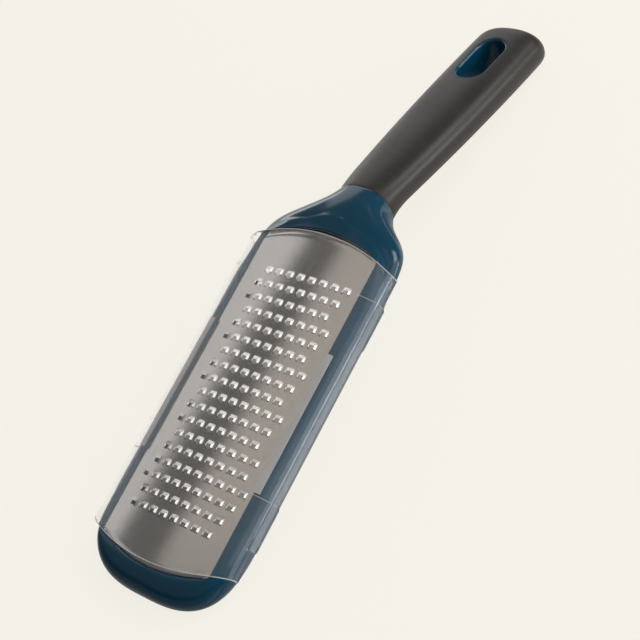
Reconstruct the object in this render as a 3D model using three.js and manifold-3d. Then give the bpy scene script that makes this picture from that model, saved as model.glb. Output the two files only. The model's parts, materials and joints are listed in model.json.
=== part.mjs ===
// Fine grater: a bent moulded frame, a soft grip over its tang, an arched grating plate and a clear guard.
// Millimetres. Head axes: +X from the foot to the handle, +Y to the left, +Z out of the grating face,
// with the plate's crown at the origin. The finished grater lies on a table, on its foot and grip.

import * as THREE from 'three'
import { mergeVertices } from 'three/addons/utils/BufferGeometryUtils.js'
import Module from 'manifold-3d'

const wasm = await Module()
wasm.setup()

// Shared clearance between neighbouring pieces
const fitGap = 0.3

// Window in the frame, and the arched plate that fills it
const windowLength = 143
const windowWidth = 57
const windowBow = 6.2
const windowCorner = 7
const archRadius = 233
const plateThick = 0.6
const plateTuck = 0.8

// Teeth: raised hoods whose mouths face the foot, three rows to a stagger
const toothRows = 18
const toothColumns = 8
const toothPitch = 5.63
const rowPitch = 5.98
const firstToothY = 16.4
const rowsPerStagger = 3
const toothWidth = 2.7
const toothLength = 3.1
const toothHeight = 1.1
const toothWall = 0.35
const toothCrownShare = 0.6
const toothBackShare = 0.7
const longRows = [{ row: 14, column: 8 }, { row: 15, column: -1 }]

// Frame head: an oval with a sloping rim, a crisp edge and rounded sides
const railLength = 90
const railWidth = 6.7
const footRim = 8.1
const footPower = 3.1
const creaseRim = 11
const creasePower = 2.3
const frameDepth = 11.8
const lipThick = 0.9
const rimWidth = 3.4
const rimDrop = 2.6
const sideBulge = 0.9
const bottomInset = 3.2

// Steps down the frame's side: out as a share of the bulge, down as a share of the depth
const sideSteps = [[0, 0], [0.8, 0.15], [1, 0.45], [0.3, 0.75], [-2, 0.93]]

// Neck: shoulders that close like a bottle's, bending down to the handle
const neckRim = 11.2
const bendZ = -8.1
const handleDrop = THREE.MathUtils.degToRad(19.5)
const neckMiddle = -1.9
const neckEase = 4.5
const neckCrown = 2.2
const neckPower = 2.2

// Grip and the tang inside it, measured along the handle from the bend
const gripStart = 9.2
const gripEnd = 119
const gripStartWidth = 26.4
const gripEndWidth = 34
const gripThick = 17.2
const gripPower = 2.4
const gripEndRound = 9
const gripEndFlatten = 0.6
const gripStations = [0.35, 0.7]
const gripSkin = 3.1
const tangRoot = 2
const tangEnd = 84

// Hanging eye: a tube of the tang that lines the slot through the grip
const eyePlace = 94.6
const eyeLength = 27.4
const eyeWidth = 15
const eyeWall = 1.2
const eyeRecess = 0.5

// Clear guard over the plate, open at both ends
const guardShort = 2.3
const guardEndRadius = 99
const guardWall = 1.2
const guardLift = 1.8
const guardArchMargin = 3.5
const guardShoulderDrop = 3.4
const guardTabInner = 32
const guardTabOuter = 50
const guardTabDepth = 8
const guardMiddleDepth = 5.6
const guardEndDepth = 6.5

// Flats worn where the grater lies on a table
const footPad = 10
const tipPad = 9

const windowHalf = windowWidth / 2
const windowEnd = windowLength / 2
const headHalf = windowHalf + railWidth
const railHalf = railLength / 2
const footLength = windowEnd + footRim - railHalf
const creaseLength = windowEnd + creaseRim - railHalf
const bendX = windowEnd + neckRim
const guardHalf = windowEnd - guardShort
const guardArchHalf = windowHalf + guardArchMargin
const frameHalf = headHalf + sideBulge
const handleAlong = new THREE.Vector3(Math.cos(handleDrop), 0, -Math.sin(handleDrop))
const handleUp = new THREE.Vector3(Math.sin(handleDrop), 0, Math.cos(handleDrop))
const bend = new THREE.Vector3(bendX, 0, bendZ)
const handlePoint = (along, y, up) =>
  bend.clone().addScaledVector(handleAlong, along).addScaledVector(handleUp, up).setY(y)

const archDrop = (y, radius = archRadius) => radius - Math.sqrt(radius * radius - y * y)
const smooth = (t) => {
  const s = THREE.MathUtils.clamp(t, 0, 1)
  return s * s * (3 - 2 * s)
}
const mix = THREE.MathUtils.lerp

// Solids for cutting and joining
function solidOf(geometry) {
  const bare = geometry.clone()
  for (const name of Object.keys(bare.attributes)) {
    if (name !== 'position') bare.deleteAttribute(name)
  }
  const merged = mergeVertices(bare, 1e-4)
  return new wasm.Manifold(new wasm.Mesh({
    numProp: 3,
    vertProperties: new Float32Array(merged.attributes.position.array),
    triVerts: new Uint32Array(merged.index.array)
  }))
}

function geometryOf(solid) {
  const mesh = solid.getMesh()
  const geometry = new THREE.BufferGeometry()
  geometry.setAttribute('position', new THREE.BufferAttribute(new Float32Array(mesh.vertProperties), 3))
  geometry.setIndex(new THREE.BufferAttribute(new Uint32Array(mesh.triVerts), 1))
  geometry.computeVertexNormals()
  return geometry
}

// A closed skin over rings of equal point counts, with a fan over each end ring
function loft(rings) {
  const count = rings[0].length
  const points = rings.flat()
  const faces = []
  for (let r = 0; r + 1 < rings.length; r++) {
    for (let k = 0; k < count; k++) {
      const a = r * count + k
      const b = r * count + (k + 1) % count
      faces.push(a, b, b + count, a, b + count, a + count)
    }
  }
  const middle = (ring) => ring.reduce((sum, p) => sum.add(p), new THREE.Vector3()).divideScalar(count)
  const last = (rings.length - 1) * count
  points.push(middle(rings[0]), middle(rings.at(-1)))
  for (let k = 0; k < count; k++) {
    const next = (k + 1) % count
    faces.push(next, k, points.length - 2, last + k, last + next, points.length - 1)
  }
  const geometry = new THREE.BufferGeometry().setFromPoints(points)
  geometry.setIndex(faces)
  return solidOf(dropFlatFaces(mergeVertices(geometry, 1e-4)))
}

// Faces that lost a corner where points of a ring fell together
function dropFlatFaces(geometry) {
  const index = geometry.index.array
  const kept = []
  for (let i = 0; i < index.length; i += 3) {
    const [a, b, c] = [index[i], index[i + 1], index[i + 2]]
    if (a !== b && b !== c && c !== a) kept.push(a, b, c)
  }
  geometry.setIndex(kept)
  return geometry
}

// A plan outline (X, Y) raised from one height to another
function upright(points, low, high) {
  const shape = new THREE.Shape(points)
  const options = { depth: high - low, bevelEnabled: false, curveSegments: 12 }
  const geometry = new THREE.ExtrudeGeometry(shape, options)
  return solidOf(geometry.translate(0, 0, low))
}

// A cross-section (Y, Z) run along X
function alongX(points, start, end) {
  const shape = new THREE.Shape(points)
  const geometry = new THREE.ExtrudeGeometry(shape, { depth: end - start, bevelEnabled: false })
  geometry.applyMatrix4(new THREE.Matrix4().makeBasis(
    new THREE.Vector3(0, 1, 0), new THREE.Vector3(0, 0, 1), new THREE.Vector3(1, 0, 0)))
  return solidOf(geometry.translate(start, 0, 0))
}

function block(low, high) {
  const size = high.map((value, axis) => value - low[axis])
  const geometry = new THREE.BoxGeometry(...size)
  return solidOf(geometry.translate(...low.map((value, axis) => value + size[axis] / 2)))
}

// An outline with straight sides, ends that bow out as arcs of one radius, and rounded corners where asked
function bowedOutline(halfLength, halfWidth, radius, corner = 0, steps = 10, cornerSteps = 4) {
  const rise = halfWidth - corner
  const reach = Math.sqrt((radius - corner) ** 2 - rise ** 2)
  const turn = Math.atan2(rise, reach)
  const points = []
  for (const end of [1, -1]) {
    const arc = (x, y, size, from, to, count, first) => {
      for (let k = first; k <= count; k++) {
        const angle = mix(from, to, k / count)
        const point = new THREE.Vector2(x + size * Math.cos(angle), y + size * Math.sin(angle))
        point.x += halfLength - radius
        points.push(point.multiplyScalar(end))
      }
    }
    if (corner) arc(reach, -rise, corner, -Math.PI / 2, -turn, cornerSteps, 0)
    arc(0, 0, radius, -turn, turn, steps, corner ? 1 : 0)
    if (corner) arc(reach, rise, corner, turn, Math.PI / 2, cornerSteps, 1)
  }
  return points
}

// A band between two arch radii, as wide as halfWidth each side
function archBand(halfWidth, over, under, steps = 6) {
  const row = (offset, from, to) => Array.from({ length: steps + 1 }, (unused, k) => {
    const y = mix(from, to, k / steps)
    return new THREE.Vector2(y, offset - archDrop(y))
  })
  return [...row(-under, -halfWidth, halfWidth), ...row(over, halfWidth, -halfWidth)]
}

const windowEndRadius = (windowHalf ** 2 + windowBow ** 2) / (2 * windowBow)
const plan = (grow) =>
  bowedOutline(windowEnd + grow, windowHalf + grow, windowEndRadius + grow, windowCorner + grow)

// Grating plate
function toothWedge(width, length, back, front, base, crown, tail) {
  const ring = (x, halfBase, halfTop, top) => [
    new THREE.Vector3(x, -halfBase, base), new THREE.Vector3(x, halfBase, base),
    new THREE.Vector3(x, halfTop, top), new THREE.Vector3(x, -halfTop, top)]
  const half = width / 2
  return [
    ring(-front, half, half * toothCrownShare, crown),
    ring(length - back, half * toothBackShare, half * toothBackShare * toothCrownShare, tail)]
}

function toothAt(x, arc, rings) {
  const lean = arc / archRadius
  const place = new THREE.Matrix4().makeRotationX(-lean)
  place.setPosition(x, archRadius * Math.sin(lean), archRadius * Math.cos(lean) - archRadius)
  return loft(rings.map((ring) => ring.map((p) => p.clone().applyMatrix4(place))))
}

function gratingPlate() {
  const long = windowLength
  const reach = windowHalf + plateTuck
  let plate = alongX(archBand(reach, 0, plateThick), -long, long)
  plate = plate.intersect(upright(plan(plateTuck), -long, long))
  const sunk = plateThick / 2
  const hood = toothWedge(toothWidth, toothLength, 0, 0, -sunk, toothHeight, -toothWall / 2)
  const mouth = toothWedge(toothWidth - 2 * toothWall, toothLength, 2 * toothWall, toothWall,
    -2 * plateThick, toothHeight - toothWall, -toothWall)
  for (let row = 0; row < toothRows; row++) {
    const x = ((toothRows - 1) / 2 - row) * rowPitch - toothLength / 2
    const shift = (row % rowsPerStagger) / rowsPerStagger
    const columns = Array.from({ length: toothColumns }, (unused, column) => column)
    columns.push(...longRows.filter((extra) => extra.row === row).map((extra) => extra.column))
    for (const column of columns) {
      const arc = firstToothY - (column - shift) * toothPitch
      plate = plate.add(toothAt(x, arc, hood)).subtract(toothAt(x, arc, mouth))
    }
  }
  return plate
}

// Frame
const rimHeight = lipThick + fitGap
const ovalRadius = (x, y) => {
  const [length, power] = x < 0 ? [footLength, footPower] : [creaseLength, creasePower]
  const past = Math.max(Math.abs(x) - railHalf, 0) / length
  return (past ** power + (Math.abs(y) / headHalf) ** power) ** (1 / power)
}
const topHeight = (x, y) => {
  const inside = (1 - ovalRadius(x, y)) * headHalf
  return rimHeight - archDrop(y) - rimDrop * THREE.MathUtils.clamp(1 - inside / rimWidth, 0, 1)
}

// One ring of the head: across the top, down one side, across the bottom and up the other side
function headRing(x, y, nx, ny) {
  const edgeHeight = topHeight(x, y)
  const flat = Math.max(y - rimWidth, 0)
  const top = [0, flat / 2, flat].map((across) => [x, across, topHeight(x, across)])
  const sides = sideSteps.map(([out, down]) =>
    [x + nx * out * sideBulge, y + ny * out * sideBulge, mix(edgeHeight, -frameDepth, down)])
  const inset = Math.min(bottomInset, y)
  const under = [[x - nx * bottomInset, y - ny * inset], [x - nx * bottomInset, (y - ny * inset) / 2]]
    .map(([px, py]) => [px, py, -frameDepth])
  const left = [...top, ...sides, ...under]
  const bottom = [x - nx * bottomInset, 0, -frameDepth]
  const right = left.slice(1).reverse().map(([px, py, pz]) => [px, -py, pz])
  return [...left, bottom, ...right].map((p) => new THREE.Vector3(...p))
}

function headOval() {
  const rings = []
  const steps = 9
  const quarter = (sign, length, power) => Array.from({ length: steps + 1 }, (unused, k) => {
    const turn = (k / steps) * Math.PI / 2
    const [c, s] = [Math.cos(turn) ** (2 / power), Math.sin(turn) ** (2 / power)]
    const slope = new THREE.Vector2(c ** (power - 1) / length, s ** (power - 1) / headHalf).normalize()
    return headRing(sign * (railHalf + length * (k === steps ? 0 : c)), headHalf * (k ? s : 0),
      sign * (k === steps ? 0 : slope.x), k ? slope.y : 0)
  })
  rings.push(...quarter(-1, footLength, footPower))
  rings.push(...quarter(1, creaseLength, creasePower).reverse())
  return loft(rings.map((ring) => ring.reverse()))
}

// A superellipse section across the handle, with its centre, half sizes and lean from the head's upright
function handleRing(centre, halfWidth, halfHeight, lean, power, count = 28) {
  const up = new THREE.Vector3(Math.sin(lean), 0, Math.cos(lean))
  return Array.from({ length: count }, (unused, k) => {
    const turn = (k + 0.5) / count * 2 * Math.PI
    const [c, s] = [Math.cos(turn), Math.sin(turn)]
    const across = Math.sign(c) * Math.abs(c) ** (2 / power) * halfWidth
    const raise = Math.sign(s) * Math.abs(s) ** (2 / power) * halfHeight
    return centre.clone().addScaledVector(up, raise).setY(across)
  })
}

const gripHalf = (along) =>
  mix(gripStartWidth, gripEndWidth, (along - gripStart) / (gripEnd - gripStart)) / 2
const neckSpread = (along) => 1 / (1 + Math.exp((along - neckMiddle) / neckEase))
const neckHalf = (along) => {
  const least = neckSpread(gripStart)
  return mix(gripStartWidth / 2, frameHalf, (neckSpread(along) - least) / (1 - least))
}

function neck() {
  const headMiddle = (-neckCrown - frameDepth) / 2
  const headRise = (frameDepth - neckCrown) / 2
  const steps = 14
  const start = -(bendX - railHalf)
  return loft(Array.from({ length: steps + 1 }, (unused, k) => {
    const along = mix(start, gripStart, Math.sin(k / steps * Math.PI / 2))
    const bent = smooth((along - start / 2) / (gripStart - start / 2))
    const centre = along < 0
      ? new THREE.Vector3(bendX + along, 0, mix(bendZ, headMiddle, smooth(along / start * 2)))
      : handlePoint(along, 0, 0)
    const inside = along < start / 2 ? 2 * fitGap : 0
    return handleRing(centre, neckHalf(along) - inside, mix(headRise, gripThick / 2, bent),
      handleDrop * bent, mix(neckPower, gripPower, bent))
  }))
}

// The core of the handle, or the pocket for it when grown by a gap
function tang(grow) {
  const root = gripStart - tangRoot / (grow ? 2 : 1)
  const stations = [root, mix(gripStart, tangEnd, 0.5), tangEnd + grow]
  return loft(stations.map((along) => handleRing(handlePoint(along, 0, 0),
    gripHalf(along) - gripSkin + grow, gripThick / 2 - gripSkin + grow, handleDrop, gripPower)))
}

// A slot-shaped post through the handle, grown all round, from one height to another
function eyePost(grow, low, high) {
  const radius = eyeWidth / 2 + grow
  const straight = (eyeLength - eyeWidth) / 2
  const shape = new THREE.Shape()
  shape.absarc(eyePlace + straight, 0, radius, -Math.PI / 2, Math.PI / 2)
  shape.absarc(eyePlace - straight, 0, radius, Math.PI / 2, Math.PI * 3 / 2)
  const options = { depth: high - low, bevelEnabled: false, curveSegments: 10 }
  const geometry = new THREE.ExtrudeGeometry(shape, options)
  geometry.translate(0, 0, low)
  const across = new THREE.Vector3(0, 1, 0)
  geometry.applyMatrix4(new THREE.Matrix4().makeBasis(handleAlong, across, handleUp).setPosition(bend))
  return solidOf(geometry)
}

// Everything below the table that the grater lies on
const footRest = new THREE.Vector3(-railHalf - footLength + footPad, 0, -frameDepth)
const tipRest = handlePoint(gripEnd - tipPad, 0, -gripThick / 2)
const restTilt = Math.atan2(footRest.z - tipRest.z, tipRest.x - footRest.x)
function belowTable() {
  const span = 4 * gripEnd
  const geometry = new THREE.BoxGeometry(span, span, span).translate(0, 0, -span / 2)
  const halfway = footRest.clone().lerp(tipRest, 0.5)
  geometry.applyMatrix4(new THREE.Matrix4().makeRotationY(restTilt).setPosition(halfway))
  return solidOf(geometry)
}

function frameMoulding() {
  const past = windowLength
  const eyeHalf = gripThick / 2 - eyeRecess
  const groove = alongX(archBand(windowHalf + plateTuck + fitGap, fitGap, plateThick + fitGap), -past, past)
    .intersect(upright(plan(plateTuck + fitGap), -past, past))
  return headOval().add(neck()).add(tang(0)).add(eyePost(0, -eyeHalf, eyeHalf))
    .subtract(eyePost(-eyeWall, -gripThick, gripThick))
    .subtract(upright(plan(0), -past, past))
    .subtract(groove)
    .subtract(belowTable())
}

function grip() {
  const steps = 8
  const round = gripEnd - gripEndRound
  const stations = [gripStart + fitGap, ...gripStations.map((share) => mix(gripStart, round, share))]
  for (let k = 0; k < steps; k++) {
    stations.push(round + gripEndRound * Math.sin(k / (steps - 1) * Math.PI / 2))
  }
  const skin = loft(stations.map((along) => {
    const past = Math.max(along - round, 0) / gripEndRound
    const close = gripEndRound * (1 - (1 - past ** gripPower) ** (1 / gripPower))
    return handleRing(handlePoint(along, 0, 0), gripHalf(along) - close,
      gripThick / 2 - close * gripEndFlatten, handleDrop, gripPower)
  }))
  return skin.subtract(tang(fitGap)).subtract(eyePost(fitGap, -gripThick, gripThick)).subtract(belowTable())
}

// Clear guard: an arch over the teeth, sloping shoulders and side skirts with clip tabs
function guardSection() {
  const steps = 6
  const skirt = frameHalf + fitGap
  const arch = (lift) => Array.from({ length: steps + 1 }, (unused, k) => {
    const y = mix(-guardArchHalf, guardArchHalf, k / steps)
    return new THREE.Vector2(y, lift - archDrop(y))
  })
  const inner = arch(guardLift)
  const outer = arch(guardLift + guardWall)
  const shoulder = inner[0].y - guardShoulderDrop
  const corner = guardWall / 2
  return [
    new THREE.Vector2(-skirt, -guardTabDepth), new THREE.Vector2(-skirt, shoulder), ...inner,
    new THREE.Vector2(skirt, shoulder), new THREE.Vector2(skirt, -guardTabDepth),
    new THREE.Vector2(skirt + guardWall, -guardTabDepth),
    new THREE.Vector2(skirt + guardWall, shoulder + corner / 2),
    new THREE.Vector2(skirt + corner, shoulder + guardWall + corner / 2), ...outer.reverse(),
    new THREE.Vector2(-skirt - corner, shoulder + guardWall + corner / 2),
    new THREE.Vector2(-skirt - guardWall, shoulder + corner / 2),
    new THREE.Vector2(-skirt - guardWall, -guardTabDepth)]
}

function bladeGuard() {
  const wide = frameHalf + fitGap + 2 * guardWall
  const low = -2 * guardTabDepth
  return alongX(guardSection(), -windowLength, windowLength)
    .intersect(upright(bowedOutline(guardHalf, wide, guardEndRadius), low, -low))
    .subtract(block([-guardTabInner, -wide, low], [guardTabInner, wide, -guardMiddleDepth]))
    .subtract(block([guardTabOuter, -wide, low], [guardHalf, wide, -guardEndDepth]))
    .subtract(block([-guardHalf, -wide, low], [-guardTabOuter, wide, -guardEndDepth]))
}

function piece(name, solid, look) {
  const mesh = new THREE.Mesh(geometryOf(solid), new THREE.MeshStandardMaterial(look))
  mesh.name = name
  return mesh
}

// The head rises from the foot by the rest tilt, and the box's bottom centre is the origin
const head = new THREE.Group()
head.add(
  piece('frame', frameMoulding(), { color: 0x1d3f59, roughness: 0.25, metalness: 0 }),
  piece('grip', grip(), { color: 0x3e3b37, roughness: 0.55, metalness: 0 }),
  piece('grating_plate', gratingPlate(), { color: 0xb4b2ae, roughness: 0.3, metalness: 1 }),
  piece('blade_guard', bladeGuard(), { color: 0xe8edf0, roughness: 0.1, transparent: true, opacity: 0.3 }))
head.rotation.y = -restTilt

const grater = new THREE.Group()
grater.add(head)
const box = new THREE.Box3().setFromObject(grater, true)
const middle = box.getCenter(new THREE.Vector3())
head.position.set(-middle.x, -middle.y, -box.min.z)

export default grater
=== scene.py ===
import json
import math

import bmesh
import bpy
import numpy as np
from mathutils import Matrix, Vector


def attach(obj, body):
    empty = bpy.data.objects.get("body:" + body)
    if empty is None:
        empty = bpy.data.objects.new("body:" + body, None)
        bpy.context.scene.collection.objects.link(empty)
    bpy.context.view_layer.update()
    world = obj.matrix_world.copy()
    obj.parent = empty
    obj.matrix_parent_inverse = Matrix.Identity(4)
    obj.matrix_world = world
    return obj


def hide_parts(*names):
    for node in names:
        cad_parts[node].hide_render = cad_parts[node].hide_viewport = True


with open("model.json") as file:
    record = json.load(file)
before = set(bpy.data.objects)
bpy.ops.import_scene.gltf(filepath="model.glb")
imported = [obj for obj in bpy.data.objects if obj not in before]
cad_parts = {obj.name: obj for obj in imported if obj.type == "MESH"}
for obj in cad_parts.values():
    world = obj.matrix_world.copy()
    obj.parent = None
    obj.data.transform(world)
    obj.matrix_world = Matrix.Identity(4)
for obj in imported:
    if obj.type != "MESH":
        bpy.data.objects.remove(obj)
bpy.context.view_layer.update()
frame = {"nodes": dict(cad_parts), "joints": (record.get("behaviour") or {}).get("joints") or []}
print("frame loaded:", sorted(frame["nodes"]))

# The head's own axes, in millimetres: x from foot to handle, y to the left, z out of the plate.
# The middle of the plate's crown is at zero.
head = {
    "archRadius": 233.0,
    "plateThick": 0.6,
    "plateReach": 29.3,
    "windowEnd": 71.5,
    "windowHalf": 29.7,
    "windowBow": 6.2,
    "windowCorner": 4.0,
}
toMetres = 0.001
meshing = {
    "sharp": 38.0,
    "mergeBelow": 2e-6,
    "rimAngle": 60.0,
    "rimSegments": 3,
}


def archDrop(y, radius=head["archRadius"]):
    # how far an arc of that radius has fallen at a distance y from its crown: r - sqrt(r^2 - y^2)
    return radius - np.sqrt(radius * radius - np.square(y))


def smooth(t):
    # cubic ease: 3 t^2 - 2 t^3, held at 0 and 1
    s = np.clip(t, 0.0, 1.0)
    return s * s * (3.0 - 2.0 * s)


def mix(a, b, t):
    # straight blend: a + (b - a) t
    return a + (b - a) * t


def meshPoints(mesh):
    # the mesh's points as an array of n by 3
    co = np.empty(len(mesh.vertices) * 3, np.float32)
    mesh.vertices.foreach_get("co", co)
    return co.reshape(-1, 3)


def headPlacement():
    # the lift joint is square to the plate, and the plate's box gives the crown
    axis = frame["joints"][0]["axis"]
    tilt = math.atan2(-axis[0], axis[2])
    c, s = math.cos(tilt), math.sin(tilt)
    co = meshPoints(frame["nodes"]["grating_plate"].data) / toMetres
    along = co[:, 0] * c + co[:, 2] * s
    out = co[:, 2] * c - co[:, 0] * s
    x0 = (along.min() + along.max()) / 2
    z0 = out.min() + head["plateThick"] + archDrop(head["plateReach"])
    return tilt, np.array([x0 * c - z0 * s, 0.0, x0 * s + z0 * c])


tilt, headOrigin = headPlacement()
print("head tilt %.2f degrees, crown at %s mm" % (math.degrees(tilt), headOrigin.round(2)))


def toRow(points):
    # turn by the tilt about y, move to the crown, millimetres to metres
    p = np.asarray(points, float)
    c, s = math.cos(tilt), math.sin(tilt)
    turned = np.stack([p[..., 0] * c - p[..., 2] * s, p[..., 1], p[..., 0] * s + p[..., 2] * c], axis=-1)
    return (turned + headOrigin) * toMetres


def gridFaces(rows, cols, closeRows=False, closeCols=False):
    # quads of a grid whose point (i, j) is number i * cols + j
    i = np.arange(rows if closeRows else rows - 1)
    j = np.arange(cols if closeCols else cols - 1)
    i, j = (a.ravel() for a in np.meshgrid(i, j, indexing="ij"))
    down, right = (i + 1) % rows, (j + 1) % cols
    return np.stack([i * cols + j, i * cols + right, down * cols + right, down * cols + j], axis=1)


def addPiece(name, patches, body, sharp=meshing["sharp"], rimRound=0.0):
    # patches of (points, quads) in head millimetres become one closed mesh at the origin
    verts, faces, base = [], [], 0
    for points, quads in patches:
        flat = np.asarray(points, float).reshape(-1, 3)
        verts.append(flat)
        faces.append(np.asarray(quads) + base)
        base += len(flat)
    mesh = bpy.data.meshes.new(name)
    mesh.from_pydata(toRow(np.concatenate(verts)).tolist(), [], np.concatenate(faces).tolist())
    work = bmesh.new()
    work.from_mesh(mesh)
    mergeBelow = meshing["mergeBelow"]
    bmesh.ops.remove_doubles(work, verts=work.verts[:], dist=mergeBelow)
    bmesh.ops.dissolve_degenerate(work, edges=work.edges[:], dist=mergeBelow)
    bmesh.ops.delete(work, geom=[v for v in work.verts if not v.link_faces], context="VERTS")
    bmesh.ops.recalc_face_normals(work, faces=work.faces[:])
    if rimRound:
        steep = math.radians(meshing["rimAngle"])
        rims = [e for e in work.edges if len(e.link_faces) == 2 and e.calc_face_angle() > steep]
        bmesh.ops.bevel(work, geom=rims, offset=rimRound * toMetres, segments=meshing["rimSegments"],
                        profile=0.5, affect="EDGES", clamp_overlap=True)
    work.to_mesh(mesh)
    work.free()
    mesh.polygons.foreach_set("use_smooth", np.ones(len(mesh.polygons), bool))
    mesh.set_sharp_from_angle(angle=math.radians(sharp))
    piece = bpy.data.objects.new(name, mesh)
    bpy.context.scene.collection.objects.link(piece)
    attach(piece, body)
    print("piece %s: %d faces" % (name, len(mesh.polygons)))
    return piece


def evenly(curve, count):
    # points of a curve, count of them, at equal arc lengths
    step = np.linalg.norm(np.diff(curve, axis=0), axis=1)
    at = np.concatenate([[0.0], np.cumsum(step)])
    want = np.linspace(0.0, at[-1], count)
    return np.stack([np.interp(want, at, curve[:, k]) for k in range(curve.shape[1])], axis=1)


# Frame moulding: an oval ring with a sloping rim, and a neck that swells out of it
frameShape = {
    "railHalf": 45.0,
    "headHalf": 35.2,
    "footTip": 79.6,
    "footPower": 3.1,
    "creaseTip": 74.3,
    "creasePower": 3.0,
    "creasePeak": 3.7,
    "creasePeakHalf": 13.0,
    "depth": 11.8,
    "rimHeight": 1.2,
    "rimDrop": 2.6,
    "stepHeight": 0.3,
    "stepWidth": 1.1,
    "stepFloor": -7.0,
    "stepFade": 3.0,
    "tipStep": 0.4,
    "tipHalf": 14.0,
    "sideBulge": 0.9,
    "footBulge": 0.02,
    "footFrom": 58.0,
    "footOver": 18.0,
    "footLine": 0.02,
    "sideRound": 4.1,
    "sideMiddle": 7.5,
    "lipRound": 0.4,
    "rimCrowding": 1.6,
    "railFall": 2.0,
    "neckFall": 1.5,
    "neckOver": 16.0,
    "tuckUnder": 0.9,
    "softLeast": 0.04,
    "softFoot": 0.3,
    "softReach": 9,
    "softPasses": 12,
    "bendX": 82.7,
    "bendZ": -8.1,
    "drop": math.radians(19.58),
    "neckMiddle": -2.21,
    "neckEase": 4.29,
    "headMiddle": -7.0,
    "headRise": 4.8,
    "topSlope": 0.05,
    "topPasses": 8,
    "ridgePasses": 14,
    "upperPower": 1.96,
    "lowerPower": 2.89,
    "footRows": 64,
    "railRows": 40,
    "creaseRows": 90,
    "neckRows": 26,
    "rimPoints": 26,
    "sidePoints": 60,
    "lipPoints": 6,
    "wallPoints": 5,
    "underPoints": 7,
    "crowding": 1.8,
    "sharp": 50.0,
}
gripShape = {
    "start": 9.2,
    "end": 118.7,
    "startWidth": 26.4,
    "endWidth": 33.0,
    "barrel": 1.76,
    "startThick": 15.7,
    "endThick": 18.1,
    "power": 2.26,
    "sag": 3.46,
    "sagPlace": 3.6,
    "swell": 1.92,
    "swellPlace": 5.1,
    "bell": 8.0,
    "endRound": 8.6,
    "endPower": 3.2,
    "endFlatten": 0.6,
    "jointGap": 0.3,
    "edgeRound": 0.5,
    "tangInset": 3.1,
    "tangRoot": 4.0,
    "inward": 0.75,
    "around": 112,
    "jointPoints": 5,
    "sleeveRows": 42,
    "eyeRows": 33,
    "tipRows": 26,
}


def windowQuarter(grow=0.0, count=400):
    # half side, corner arc, then half of the bowed end, from the rail's middle to the end's middle
    length = head["windowEnd"] + grow
    half = head["windowHalf"] + grow
    bow = head["windowBow"]
    radius = (head["windowHalf"] ** 2 + bow ** 2) / (2 * bow) + grow
    corner = head["windowCorner"] + grow
    rise = half - corner
    reach = math.sqrt((radius - corner) ** 2 - rise ** 2)
    turn = math.atan2(rise, reach)
    middle = length - radius
    bend = np.linspace(math.pi / 2, turn, count)
    sweep = np.linspace(turn, 0.0, count)
    side = np.stack([np.linspace(0.0, middle + reach, count), np.full(count, half)], axis=1)
    cornerArc = np.stack([middle + reach + corner * np.cos(bend), rise + corner * np.sin(bend)], axis=1)
    end = np.stack([middle + radius * np.cos(sweep), radius * np.sin(sweep)], axis=1)
    return np.concatenate([side, cornerArc[1:], end[1:]])


def ridgeQuarter(tip, power, peak=0.0, count=600):
    # superellipse from the rail's end (railHalf, headHalf) to the tip,
    # which is drawn out by peak (1 - (y/h)^2)^2
    f = frameShape
    turn = np.linspace(math.pi / 2, 0.0, count)
    c = np.abs(np.cos(turn)) ** (2 / power)
    s = np.abs(np.sin(turn)) ** (2 / power)
    c[0], s[-1] = 0.0, 0.0
    y = f["headHalf"] * s
    drawn = peak * np.clip(1 - (y / f["creasePeakHalf"]) ** 2, 0.0, 1.0) ** 2
    return np.stack([f["railHalf"] + (tip - f["railHalf"]) * c + drawn, y], axis=1)


def rimRows():
    # ridge points from the foot's tip along the left side to the crease's tip,
    # and the window's point for each
    f = frameShape
    window = windowQuarter()
    past = window[window[:, 0] >= f["railHalf"]]
    past = np.concatenate([[[f["railHalf"], head["windowHalf"]]], past])
    mirror = np.array([-1.0, 1.0])
    foot = evenly(ridgeQuarter(f["footTip"], f["footPower"]), f["footRows"])[::-1] * mirror
    crease = evenly(ridgeQuarter(f["creaseTip"], f["creasePower"], f["creasePeak"]), f["creaseRows"])
    x = np.linspace(-f["railHalf"], f["railHalf"], f["railRows"])[1:-1]
    rail = np.stack([x, np.full(len(x), f["headHalf"])], axis=1)
    railWindow = np.stack([x, np.full(len(x), head["windowHalf"])], axis=1)
    ridge = np.concatenate([foot, rail, crease])
    footWindow = evenly(past, f["footRows"])[::-1] * mirror
    return ridge, np.concatenate([footWindow, railWindow, evenly(past, f["creaseRows"])])


def outward(ridge):
    # plan normals of the ridge line, square to its run, exact on the two tips
    run = np.gradient(ridge, axis=0)
    normal = np.stack([-run[:, 1], run[:, 0]], axis=1)
    normal /= np.linalg.norm(normal, axis=1)[:, None]
    normal[0], normal[-1] = (-1.0, 0.0), (1.0, 0.0)
    return normal


def sag(along):
    # bell curve: how far the handle's widest line hangs below its straight axis
    g = gripShape
    return g["sag"] * np.exp(-((along - g["sagPlace"]) / g["bell"]) ** 2)


def swell(along):
    # bell curve: the extra fullness below the neck
    g = gripShape
    return g["swell"] * np.exp(-((along - g["swellPlace"]) / g["bell"]) ** 2)


def gripHalf(along):
    # straight taper plus a barrel 4 t (1 - t)
    g = gripShape
    t = np.clip((along - g["start"]) / (g["end"] - g["start"]), 0.0, 1.0)
    return mix(g["startWidth"], g["endWidth"], t) / 2 + g["barrel"] * 4 * t * (1 - t)


def gripRise(along):
    # straight taper of half the thickness
    g = gripShape
    return mix(g["startThick"], g["endThick"], (along - g["start"]) / (g["end"] - g["start"])) / 2


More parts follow.
